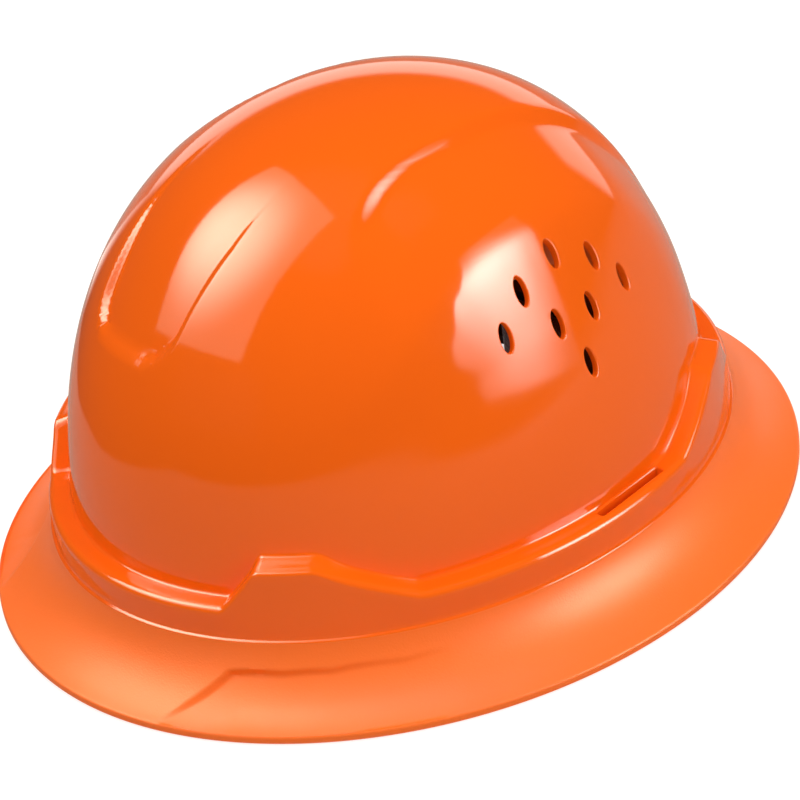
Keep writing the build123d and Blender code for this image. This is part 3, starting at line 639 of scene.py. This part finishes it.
inner_edge = dome_root(inner_levels, inner_gap, 0, inner_half, inner_top, inner_turns)
for share in (0.5, 1.0):
    rings.append(outer_edge * (1 - share) + inner_edge * share)
for angle in (45, 90):
    rise, crossed = arc(angle, inner_gap)
    gap = inner_gap - crossed
    rings.append(dome_root(inner_levels, gap, rise, inner_half, inner_top, inner_turns))
rings += dome_rings(inner_levels + inner_gap, inner_half, inner_top, inner_dome_rows, inner_turns)
marks = [
    satin_mark if index < inner_flare_rows else inside_mark for index in range(len(rings) - 1)
]
inner_skin = skin("shell_inside", rings, shell_finishes, marks)

pick(outer_skin, inner_skin)
bpy.ops.object.join()
shell = bpy.context.object
shell.name = "shell_moulding"
bpy.ops.object.mode_set(mode="EDIT")
bpy.ops.mesh.select_mode(type="EDGE")
bpy.ops.mesh.select_all(action="DESELECT")
bpy.ops.mesh.select_non_manifold(
    extend=False, use_wire=False, use_multi_face=False, use_non_contiguous=False, use_verts=False
)
bpy.ops.mesh.bridge_edge_loops()
bpy.ops.mesh.select_all(action="SELECT")
bpy.ops.mesh.normals_make_consistent(inside=False)
bpy.ops.object.mode_set(mode="OBJECT")

# Vent holes and accessory slots: bored square to the skin, with a small rounded lip where the tool
# left the mould. Each slot has a short walled well behind the ledge.
vent_half = (2.4, 5.6)
vent_centre_back = 28.6
vent_places = (
    (-0.5, 127.4), (17.9, 118.6), (-18.6, 122.4), (30.7, 104.6), (-30.7, 111.1), (9.9, 105.1),
    (-7.9, 106.8), (1.0, 88.8),
)
lip = 0.45
lip_sink = 0.03
bore_out = 4.0
bore_in = -9.0
closed = -10.0
probe = 12
crisp_angle = 38
bore_turns = np.linspace(0, 2 * math.pi, 41)
bore_profile = [(closed, bore_out), (lip, bore_out)]
for angle in (0, 22.5, 45, 67.5, 90):
    rise, crossed = arc(angle, lip)
    bore_profile.append((lip - crossed, -lip_sink - rise))
bore_profile += [(0, bore_in), (closed, bore_in)]


def vent_rim(first, second, widen, turn):
    """Point on a vent's oval, seen from its middle."""
    wide, tall = vent_half[0] + widen, vent_half[1] + widen
    return first * wide * math.cos(turn) + second * tall * math.sin(turn)


shell_tree = BVHTree.FromObject(shell, bpy.context.evaluated_depsgraph_get())
bores = []
for side in (1, -1):
    for index, (back, level) in enumerate(vent_places):
        y = vent_centre_back + back
        reach = math.sqrt(dome_share(level, dome_top) ** 2 - (y / dome_half[1]) ** 2)
        x = side * dome_half[0] * reach
        spot = [np.array(float(value)) for value in (x, y, level)]
        out = Vector(dome_normal(*spot, dome_half, dome_top))
        middle = Vector((x, y, level))
        first = out.cross(Vector((0, 0, 1))).normalized()
        second = out.cross(first)
        heights = []
        for turn in bore_turns:
            rim = vent_rim(first, second, lip, turn)
            hit = shell_tree.ray_cast((middle + rim + out * probe) * millimetre, -out)
            heights.append(probe - hit[3] / millimetre)
        heights[-1] = heights[0]
        mean = sum(heights[:-1]) / (len(heights) - 1)
        rings = []
        for widen, height in bore_profile:
            ring = []
            share = 1 if widen > closed else 0
            for turn, lift in zip(bore_turns, heights):
                rim = vent_rim(first, second, widen, turn)
                rise = height + mean + (lift - mean) * share
                ring.append(middle + rim * share + out * rise)
            rings.append(np.array(ring))
        bores.append(skin(f"bore_{side}_{index}", rings, shell_finishes))

slot_middle = (104.25, 31.41)
slot_out = (0.9784, 0.2069)
slot_half = (17.0, 1.7)
slot_corner = 0.8
slot_low, slot_high = 20.0, 43.0
well_wall = 1.8
well_low, well_high = 24.0, 36.8
well_profile = ((closed, well_low), (0, well_low), (0, well_high), (closed, well_high))
slot_profile = (
    (closed, slot_low), (0, slot_low), (0, 37.2), (0.1, 37.5), (0.35, 37.8), (0.8, 37.97),
    (0.8, slot_high), (closed, slot_high),
)


def oblong(half_long, half_wide, corner):
    """Points round an oblong with rounded corners, four to a corner."""
    points = []
    for quarter, (sx, sy) in enumerate(((1, 1), (-1, 1), (-1, -1), (1, -1))):
        for step in range(4):
            angle = math.radians(quarter * 90 + step * 30)
            along = sx * (half_long - corner) + corner * math.cos(angle)
            across = sy * (half_wide - corner) + corner * math.sin(angle)
            points.append((along, across))
    return points


def slot_rings(grow, profile, side):
    """Oblong rings for a slot's tool or well, widened by an amount at each height."""
    rings = []
    for widen, level in profile:
        share = 1 if widen > closed else 0
        half_long = (slot_half[0] + grow + widen) * share
        half_wide = (slot_half[1] + grow + widen) * share
        corner = min(slot_corner + max(grow + widen, 0), half_wide)
        ring = []
        for along, across in oblong(half_long, half_wide, corner):
            x = slot_middle[0] + slot_out[0] * across - slot_out[1] * along
            y = slot_middle[1] + slot_out[1] * across + slot_out[0] * along
            ring.append((side * x, y, level))
        rings.append(np.array([*ring, ring[0]]))
    return rings


def face_outward(merge=False):
    """Turns the active piece's faces outward, and merges its doubled corners first if asked."""
    bpy.ops.object.mode_set(mode="EDIT")
    bpy.ops.mesh.select_all(action="SELECT")
    if merge:
        bpy.ops.mesh.remove_doubles(threshold=merge_gap)
    bpy.ops.mesh.normals_make_consistent(inside=False)
    bpy.ops.object.mode_set(mode="OBJECT")


def joined(pieces, name):
    """Several pieces as one mesh, with their faces turned outward."""
    pick(*pieces)
    bpy.ops.object.join()
    whole = bpy.context.object
    whole.name = name
    face_outward()
    return whole


def carve(piece, tool, operation):
    """Adds a tool to a piece or cuts it out, and throws the tool away."""
    pick(piece)
    cut = piece.modifiers.new("cut", "BOOLEAN")
    cut.operation = operation
    cut.solver = "EXACT"
    cut.object = tool
    bpy.ops.object.modifier_apply(modifier=cut.name)
    bpy.data.objects.remove(tool)


wells = []
for side in (1, -1):
    rings = slot_rings(well_wall, well_profile, side)
    wells.append(skin(f"well_{side}", rings, shell_finishes, inside_mark))
    bores.append(skin(f"slot_{side}", slot_rings(0, slot_profile, side), shell_finishes))
carve(shell, joined(wells, "wells"), "UNION")
carve(shell, joined(bores, "bores"), "DIFFERENCE")
pick(shell)
bpy.ops.object.shade_smooth_by_angle(angle=math.radians(crisp_angle))
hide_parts("shell")
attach(shell, "shell_body")

# Suspension keys and the clip at the crown: dark nylon mouldings, pushed into the pockets behind
# the raised housings. Their finish is a fine spark-eroded grain.
def dressed(names, material):
    """Gives CAD nodes their finish."""
    for name in names:
        node = frame["nodes"][name]
        node.data.materials.clear()
        node.data.materials.append(material)


nylon_black = moulded(
    "nylon_black", (0.018, 0.018, 0.020), (0.028, 0.028, 0.030), 40.0, (0.38, 0.52), 0.00004, 2200.0
)
keys = ["key_front_left", "key_front_right", "key_rear_left", "key_rear_right"]
dressed([*keys, "crown_keeper"], nylon_black)

# Crown webbing: two flat woven polyester straps that cross at the crown. Each end drops through
# the slot in its key and is turned up into a sewn hem, so that it cannot pull back.
strap_way = (0.5878, -0.8090)
strap_half = 9.5
strap_radius = 107.0
strap_free = 30.0
strap_shoulder = 60.2
strap_thick = 1.2
strap_edge = 0.45
strap_margin = 1.5
strap_crisp_angle = 50
hem_middle = (107.1, 22.9)
hem_bend = 0.7
warp_pitch = 0.0011
rib_pitch = 0.0013
rib_lean = 2600.0
weave_depth = 0.00014


def webbing(name, colour, second, roughness):
    """Woven tape: ribs across it and warp ends along it, laid on the tape's own map, with painted
    shade darkening the weave's hollows.
    """
    material, tree, shader = surface(name)
    shader.inputs["Sheen Weight"].default_value = 0.35
    shader.inputs["Sheen Roughness"].default_value = 0.5
    place = add_node(tree, "UVMap", uv_map="weave")
    parts = add_node(tree, "SeparateXYZ")
    height = add_node(tree, "Math", {1: 0.6}, operation="MULTIPLY_ADD")
    # Painted shade: the colour darkens towards the low parts of the ribs and warp ends.
    shade = add_node(tree, "MapRange", {"From Min": -1.4, "From Max": 1.4})
    worn = add_node(tree, "TexNoise", {"Scale": 90.0})

    def wave(way, pitch, lean):
        """Ridges at a pitch along one way of the map, slanted by a lean."""
        scaled = add_node(tree, "Math", {1: 2 * math.pi / pitch}, operation="MULTIPLY")
        slant = add_node(tree, "Math", {1: lean}, operation="MULTIPLY_ADD")
        sine = add_node(tree, "Math", operation="SINE")
        wire(
            tree,
            (parts.outputs[way], scaled.inputs[0]),
            (parts.outputs["X"], slant.inputs[0]),
            (scaled.outputs[0], slant.inputs[2]),
            (slant.outputs[0], sine.inputs[0]),
        )
        return sine.outputs[0]

    wire(
        tree,
        (place.outputs["UV"], parts.inputs[0]),
        (place.outputs["UV"], worn.inputs["Vector"]),
        (wave("X", warp_pitch, 0.0), height.inputs[0]),
        (wave("Y", rib_pitch, rib_lean), height.inputs[2]),
        (height.outputs[0], shade.inputs["Value"]),
    )
    bumped(tree, height.outputs[0], weave_depth, shader)
    # Painted shade: the second colour fills the weave's hollows, and the first its raised parts.
    shaded(tree, shade.outputs["Result"], second, colour, shader.inputs["Base Color"])
    uneven(tree, worn.outputs["Fac"], roughness, shader)
    return material


# The darker second colour is painted shade in the weave's hollows. The first is the tape's own dark
# grey.
strap_cloth = webbing("strap_cloth", (0.050, 0.051, 0.055), (0.012, 0.012, 0.014), (0.62, 0.85))
thread_grey = moulded(
    "thread_grey", (0.20, 0.20, 0.21), (0.30, 0.30, 0.31), 900.0, (0.6, 0.8), 0.00003, 5000.0
)


def strap_line(apex):
    """Line of the strap's middle in its own upright plane, as distance from the axis and height."""
    rise = apex - strap_shoulder
    front = [(107.8, 26.2), (107.8, 24.6), (107.8, 23.2)]
    for angle in (40, 90, 140):
        turn = math.radians(angle)
        distance = hem_middle[0] + hem_bend * math.cos(turn)
        front.append((distance, hem_middle[1] - hem_bend * math.sin(turn)))
    front += [(106.4, 23.3), (106.45, 24.6), (106.8, 25.8)]
    front += [(strap_radius, 27.0), (strap_radius, strap_free)]
    for index in range(1, 10):
        front.append((strap_radius, strap_free + (strap_shoulder - strap_free) * index / 9))
    arch = []
    for index in range(1, 60):
        angle = math.pi * index / 60
        arch.append((strap_radius * math.cos(angle), strap_shoulder + rise * math.sin(angle)))
    rear = [(-distance, level) for distance, level in reversed(front)]
    return front + arch + rear


def make_strap(name, apex, mirrored):
    """Strap swept along its line, with a map of its width and length for the weave."""
    line = np.array(strap_line(apex))
    run = np.gradient(line, axis=0)
    run = run / np.hypot(run[:, 0], run[:, 1])[:, None]
    side = -1 if mirrored else 1
    along = np.array((side * strap_way[0], strap_way[1], 0.0))
    across = np.array((side * strap_way[1], -strap_way[0], 0.0)) * side
    upward = np.array((0.0, 0.0, 1.0))
    corners = oblong(strap_half, strap_thick / 2, strap_edge)
    flat = strap_half - strap_margin
    top = [(x, strap_thick / 2) for x in np.linspace(flat, -flat, 9)]
    low = [(-x, -y) for x, y in top]
    shape = np.array([*corners[:4], *top, *corners[4:12], *low, *corners[12:], corners[0]])
    rings = []
    for (distance, level), (run_out, run_up) in zip(line, run):
        middle = along * distance + upward * level
        out = along * run_up - upward * run_out
        rings.append(middle + across * shape[:, :1] + out * shape[:, 1:])
    first = rings[0].mean(axis=0) + 0 * rings[0]
    last = rings[-1].mean(axis=0) + 0 * rings[-1]
    strap = skin(name, [first, *rings, last], (strap_cloth,))
    face_outward()
    layer = strap.data.uv_layers.new(name="weave")
    steps = np.hypot(*np.diff(line, axis=0).T)
    lengths = np.concatenate(([0], np.cumsum(steps))) * millimetre
    middles = np.outer(line[:, 0], along) + np.outer(line[:, 1], upward)
    for loop in strap.data.loops:
        point = np.array(strap.data.vertices[loop.vertex_index].co) / millimetre
        width = float(point @ across)
        nearest = int(np.argmin(((middles - (point - across * width)) ** 2).sum(axis=1)))
        layer.data[loop.index].uv = (width * millimetre, lengths[nearest])
    bpy.ops.object.shade_smooth_by_angle(angle=math.radians(strap_crisp_angle))
    return strap


for name, node, apex, mirrored in (
    ("crown_webbing_lower", "crown_strap_lower", 132.0, False),
    ("crown_webbing_upper", "crown_strap_upper", 133.6, True),
):
    strap = make_strap(name, apex, mirrored)
    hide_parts(node)
    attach(strap, "shell_body")

# Headband and nape guides: one springy nylon strip with its posts and lugs moulded on, and two
# sleeves that swivel on rivets through the lugs.
dressed(["headband", "nape_guide_left", "nape_guide_right"], nylon_black)
pin_black = moulded(
    "pin_black", (0.022, 0.022, 0.024), (0.036, 0.036, 0.038), 300.0, (0.28, 0.42), 0.00002, 1800.0
)
dressed(["pivot_pin_left", "pivot_pin_right"], pin_black)

# Brow pad and nape pad: soft foam in a knitted sweat cloth, clipped along the band's inside, with
# sewn channels across and a row of stitches along each long edge.
def cushion_cloth(name, colour, second):
    """Fine knitted cloth with punched air dots, whose near-black colour is painted shade inside the
    holes.
    """
    material, tree, shader = surface(name)
    shader.inputs["Sheen Weight"].default_value = 0.5
    shader.inputs["Sheen Roughness"].default_value = 0.4
    place = add_node(tree, "TexCoord")
    knit = add_node(tree, "TexVoronoi", {"Scale": 900.0})
    dots = add_node(tree, "TexVoronoi", {"Scale": 240.0, "Randomness": 0.12})
    drift = add_node(tree, "TexNoise", {"Scale": 60.0})
    for texture in (knit, dots, drift):
        wire(tree, (place.outputs["Object"], texture.inputs["Vector"]))
    # Painted shade: the punched dots are coloured near black, for the shade inside the holes.
    hole = add_node(tree, "MapRange", {"From Min": 0.16, "From Max": 0.24})
    knit_with_painted_hole_shade = add_node(tree, "Mix", {"A": (0.006, 0.006, 0.007, 1)}, data_type="RGBA")
    depth = add_node(tree, "Math", {1: 2.5}, operation="MULTIPLY_ADD")
    wire(
        tree,
        (dots.outputs["Distance"], hole.inputs["Value"]),
        (hole.outputs["Result"], knit_with_painted_hole_shade.inputs["Factor"]),
        (knit_with_painted_hole_shade.outputs["Result"], shader.inputs["Base Color"]),
        (hole.outputs["Result"], depth.inputs[0]),
        (knit.outputs["Distance"], depth.inputs[2]),
    )
    shaded(tree, drift.outputs["Fac"], colour, second, knit_with_painted_hole_shade.inputs["B"])
    bumped(tree, depth.outputs[0], 0.00022, shader)
    uneven(tree, drift.outputs["Fac"], (0.78, 0.95), shader)
    return material


pad_knit = cushion_cloth("pad_knit", (0.045, 0.046, 0.050), (0.070, 0.071, 0.076))
loop_centre = -3.0
pad_voxel = 1.7
pad_shrink = 0.55
pad_cap = 0.9
fill_pressure = 4.0
fill_frames = 20
channel_depth = 0.9
channel_width = 1.1
brow_edges = (51.5, 76.5)
nape_edges = (20.0, 44.0)
stitch_pitch = 2.1
stitch_share = 0.62
stitch_sink = 0.16
stitch_shape = ((0, 0), (0, 0.12), (0.15, 0.24), (0.5, 0.28), (0.85, 0.24), (1, 0.12), (1, 0))


def applied(piece, kind, **values):
    """Puts a modifier on a piece and applies it."""
    pick(piece)
    change = piece.modifiers.new(kind.lower(), kind)
    for key, value in values.items():
        setattr(change, key, value)
    bpy.ops.object.modifier_apply(modifier=change.name)


def coordinates(mesh):
    """Places of a mesh's points, in metres."""
    points = np.zeros(len(mesh.vertices) * 3)
    mesh.vertices.foreach_get("co", points)
    return points.reshape(-1, 3)


def stuffed(name, node, outer_limit):
    """Cushion swollen from its foam's block, and kept off the band behind it by a limit."""
    source = frame["nodes"][node]
    piece = source.copy()
    piece.data = source.data.copy()
    scene.collection.objects.link(piece)
    for key in list(piece.keys()):
        del piece[key]
    piece.parent = None
    piece.name = name
    piece.data.name = name
    pick(piece)
    face_outward(merge=True)
    applied(piece, "REMESH", mode="VOXEL", voxel_size=pad_voxel * millimetre)
    applied(piece, "DISPLACE", strength=-pad_shrink * millimetre, mid_level=0.0)
    applied(piece, "SMOOTH", factor=0.5, iterations=2)
    rest = coordinates(piece.data)
    fill = piece.modifiers.new("fill", "CLOTH")
    fill.settings.use_pressure = True
    fill.settings.uniform_pressure_force = fill_pressure
    fill.settings.effector_weights.gravity = 0.0
    fill.settings.quality = 5
    fill.point_cache.frame_start = 1
    fill.point_cache.frame_end = fill_frames
    for step in range(1, fill_frames + 1):
        scene.frame_set(step)
    ready = piece.evaluated_get(bpy.context.evaluated_depsgraph_get())
    swollen = coordinates(ready.data)
    piece.modifiers.remove(fill)
    scene.frame_set(1)
    moved = swollen - rest
    far = np.linalg.norm(moved, axis=1)
    cap = pad_cap * millimetre
    moved = moved * (np.minimum(far, cap) / np.maximum(far, 1e-9))[:, None]
    points = rest + moved
    centre = loop_centre * millimetre
    back = points[:, 1] - centre
    plan = np.hypot(points[:, 0] / outer_limit[0], back / outer_limit[1])
    pulled = np.minimum(1, 1 / np.maximum(plan, 1e-9))
    points[:, 0] *= pulled
    points[:, 1] = back * pulled + centre
    piece.data.vertices.foreach_set("co", points.ravel())
    piece.data.update()
    applied(piece, "SUBSURF", levels=1, render_levels=1)
    piece.data.materials.clear()
    piece.data.materials.append(pad_knit)
    return piece


def press_channels(piece, inner_half, levels, turns_at, rear):
    """Sinks sewn channels into the face of a pad that meets the head."""
    points = coordinates(piece.data) / millimetre
    x = points[:, 0]
    y = points[:, 1] - loop_centre
    turn = np.degrees(np.arctan2(x, y if rear else -y))
    plan = np.hypot(x / inner_half[0], y / inner_half[1])
    facing = 1 - smooth_step(plan, 1.0, 1.03)
    reach = np.hypot(x, y)
    sunk = np.zeros(len(x))
    for level in levels:
        sunk = np.maximum(sunk, np.exp(-(((points[:, 2] - level) / channel_width) ** 2)))
    low, high = levels
    between = smooth_step(points[:, 2], low - 1, low)
    between = between * (1 - smooth_step(points[:, 2], high, high + 1))
    for place in turns_at:
        off = np.radians(turn - place) * reach
        sunk = np.maximum(sunk, np.exp(-((off / channel_width) ** 2)) * between)
    push = 1 + channel_depth * sunk * facing / np.maximum(reach, 1)
    points[:, 0] = x * push
    points[:, 1] = y * push + loop_centre
    piece.data.vertices.foreach_set("co", (points * millimetre).ravel())
    piece.data.update()


def stitch_row(name, pad, level, reach, rear):
    """Row of short sewn stitches along a pad's channel, laid on its surface."""
    pad_tree = BVHTree.FromObject(pad, bpy.context.evaluated_depsgraph_get())
    start = Vector((0, loop_centre * millimetre, level * millimetre))
    up = Vector((0, 0, 1))
    pieces = []
    turn = -reach
    while turn < reach:
        ends = []
        for place in (turn, turn + stitch_pitch * stitch_share):
            angle = math.radians(place)
            way = Vector((math.sin(angle), math.cos(angle) if rear else -math.cos(angle), 0))
            hit = pad_tree.ray_cast(start, way)
            if hit[0] is not None:
                ends.append(hit[0] - way * stitch_sink * millimetre)
        if len(ends) == 2:
            first, last = ends
            out = (last - first).normalized().cross(up)
            rings = []
            for share, thick in stitch_shape:
                middle = first.lerp(last, share) / millimetre
                ring = [
                    middle + (up * math.cos(around) + out * math.sin(around)) * thick
                    for around in np.linspace(0, 2 * math.pi, 7)
                ]
                rings.append(np.array(ring))
            pieces.append(skin(name, rings, (thread_grey,)))
        turn += stitch_pitch
    return pieces


def smooth_whole(pieces, name):
    """Several pieces as one smooth mesh."""
    whole = joined(pieces, name)
    bpy.ops.object.shade_smooth()
    return whole


brow = stuffed("brow_cushion", "brow_pad", (79.75, 91.75))
press_channels(brow, (75.5, 87.5), brow_edges, (-42, -28, -14, 0, 14, 28, 42), False)
bpy.ops.object.shade_smooth()
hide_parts("brow_pad")
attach(brow, "headband_body")
rows = []
for level in brow_edges:
    rows += stitch_row("brow_stitch", brow, level, 51, False)
brow_stitching = smooth_whole(rows, "brow_stitching")
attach(brow_stitching, "headband_body")

nape = stuffed("nape_cushion", "nape_pad", (81.45, 81.45))
press_channels(nape, (76.0, 76.0), nape_edges, (-9, 0, 9), True)
bpy.ops.object.shade_smooth()
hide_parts("nape_pad")
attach(nape, "nape_body")
rows = []
for level in nape_edges:
    rows += stitch_row("nape_stitch", nape, level, 15, True)
nape_stitching = smooth_whole(rows, "nape_stitching")
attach(nape_stitching, "nape_body")

# Ratchet: two toothed arms and a pinion between a curved base and its cover, a springy click disc
# under the fluted knob, and steel screws.
ratchet_plates = ["ratchet_base", "ratchet_cover", "rack_arm_left", "rack_arm_right"]
dressed(ratchet_plates, nylon_black)
acetal_white = moulded(
    "acetal_white", (0.70, 0.69, 0.65), (0.76, 0.75, 0.71), 90.0, (0.30, 0.42), 0.00002, 1500.0
)
dressed(["pinion", "pawl_disc"], acetal_white)
knob_grey = moulded(
    "knob_grey", (0.095, 0.098, 0.105), (0.120, 0.123, 0.130), 60.0, (0.34, 0.48), 0.00005, 1900.0
)
dressed(["ratchet_knob"], knob_grey)


def turned_steel(name):
    """Zinc-plated screw steel with fine turning lines and a slight yellow cast."""
    material, tree, shader = surface(name)
    shader.inputs["Metallic"].default_value = 1.0
    place = add_node(tree, "TexCoord")
    lines = add_node(tree, "TexNoise", {"Scale": 1400.0, "Detail": 4.0})
    wire(tree, (place.outputs["Object"], lines.inputs["Vector"]))
    factor = lines.outputs["Fac"]
    shaded(tree, factor, (0.60, 0.60, 0.58), (0.74, 0.73, 0.70), shader.inputs["Base Color"])
    uneven(tree, factor, (0.18, 0.36), shader)
    bumped(tree, factor, 0.00002, shader)
    return material


screw_steel = turned_steel("screw_steel_zinc")
dressed(["housing_screws", "knob_screw"], screw_steel)

# Lamp under the hat, which only the hat itself shades, so that the harness shows from below.
# The real hat is looked into from that side.
below = soft_box("box_below", (0.05, -0.15, -1.0), 1.3, 0.9, 0.9, 9.0)
shades = bpy.data.collections.new("shades_box_below")
for item in scene.objects:
    if item.type == "MESH" and item.name not in ("floor", "window_front", "window_side"):
        shades.objects.link(item)
below.light_linking.blocker_collection = shades
